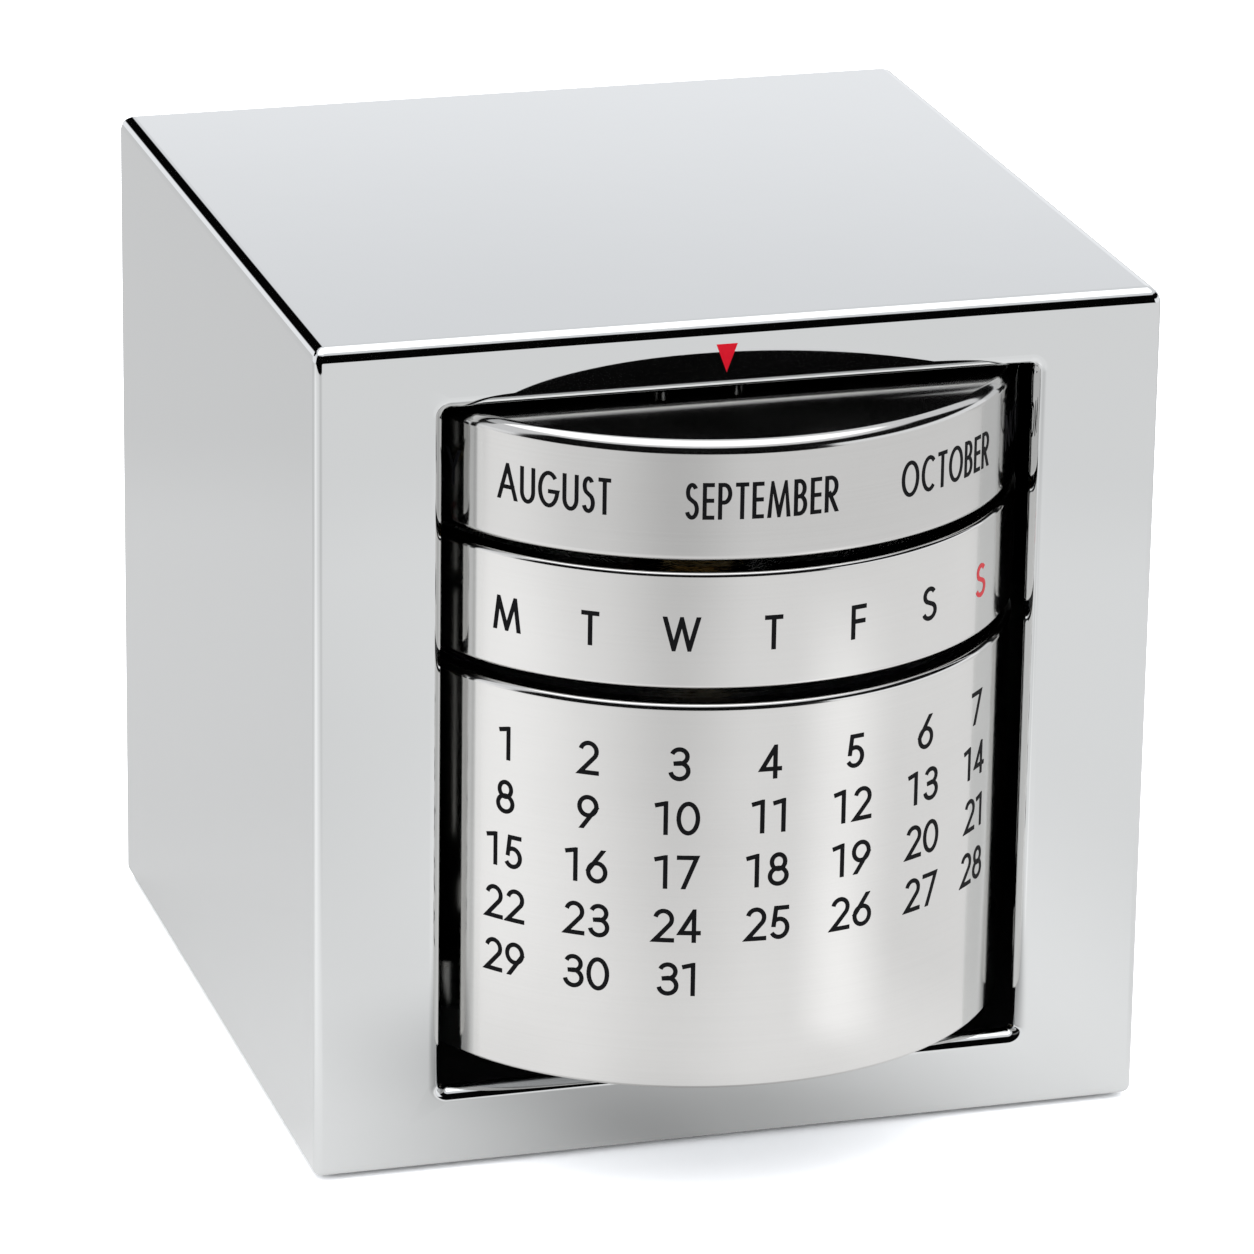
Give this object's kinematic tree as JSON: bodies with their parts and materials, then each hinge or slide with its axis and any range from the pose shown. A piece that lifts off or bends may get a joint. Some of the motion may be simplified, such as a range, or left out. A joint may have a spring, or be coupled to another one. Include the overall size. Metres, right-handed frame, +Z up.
{
  "type": "perpetual calendar",
  "caption": "Desk perpetual calendar: a polished metal cube with a front window where month, weekday and date rings turn by hand on one upright spindle.",
  "frame": {"origin": "middle of the cube's square on the surface that it stands on, at the underside of the base pad", "axes": "+Z up along the spindle, -Y out of the front face with the window, +X to the right seen from the front"},
  "size_m": [0.07, 0.082, 0.0704],
  "materials": {
    "polished_plate": "mirror-polished plating, bright and neutral",
    "satin_ring": "polished steel with a faint brushed grain around the ring, printed in black",
    "red_enamel": "glossy red enamel",
    "disc_aluminium": "turned aluminium",
    "bush_brass": "turned bearing brass",
    "washer_nylon": "natural nylon",
    "spindle_steel": "ground steel",
    "screw_steel": "zinc-plated steel",
    "spring_steel": "blued spring steel",
    "plate_paint": "matte black powder coat",
    "pad_rubber": "matte black non-slip rubber",
    "print_black": "screen-printed black lettering on the rings",
    "print_red": "screen-printed red lettering on the weekday ring"
  },
  "bodies": {
    "cube_body": {"case": "polished_plate", "pointer": "red_enamel", "base_plate": "plate_paint", "base_screws": "screw_steel", "base_pad": "pad_rubber", "spindle": "spindle_steel", "spindle_screw": "screw_steel", "thrust_washer": "washer_nylon", "date_washer": "washer_nylon", "weekday_washer": "washer_nylon", "spring_washer": "spring_steel", "retaining_clip": "spring_steel", "cap_bush": "washer_nylon"},
    "date_body": {"date_drum": "satin_ring", "date_floor_disc": "disc_aluminium", "date_top_disc": "disc_aluminium", "date_lower_bush": "bush_brass", "date_upper_bush": "bush_brass"},
    "weekday_body": {"weekday_ring": "satin_ring", "weekday_disc": "disc_aluminium", "weekday_bush": "bush_brass"},
    "month_body": {"month_ring": "satin_ring", "month_bush": "bush_brass"}
  },
  "joints": [
    {"name": "date_turn", "type": "hinge", "parent": "cube_body", "child": "date_body", "pos_m": [0, -0.0205, 0.0099], "axis": [0, 0, 1], "continuous": true},
    {"name": "weekday_turn", "type": "hinge", "parent": "cube_body", "child": "weekday_body", "pos_m": [0, -0.0205, 0.04385], "axis": [0, 0, 1], "continuous": true},
    {"name": "month_turn", "type": "hinge", "parent": "cube_body", "child": "month_body", "pos_m": [0, -0.0205, 0.0544], "axis": [0, 0, 1], "continuous": true}
  ]
}
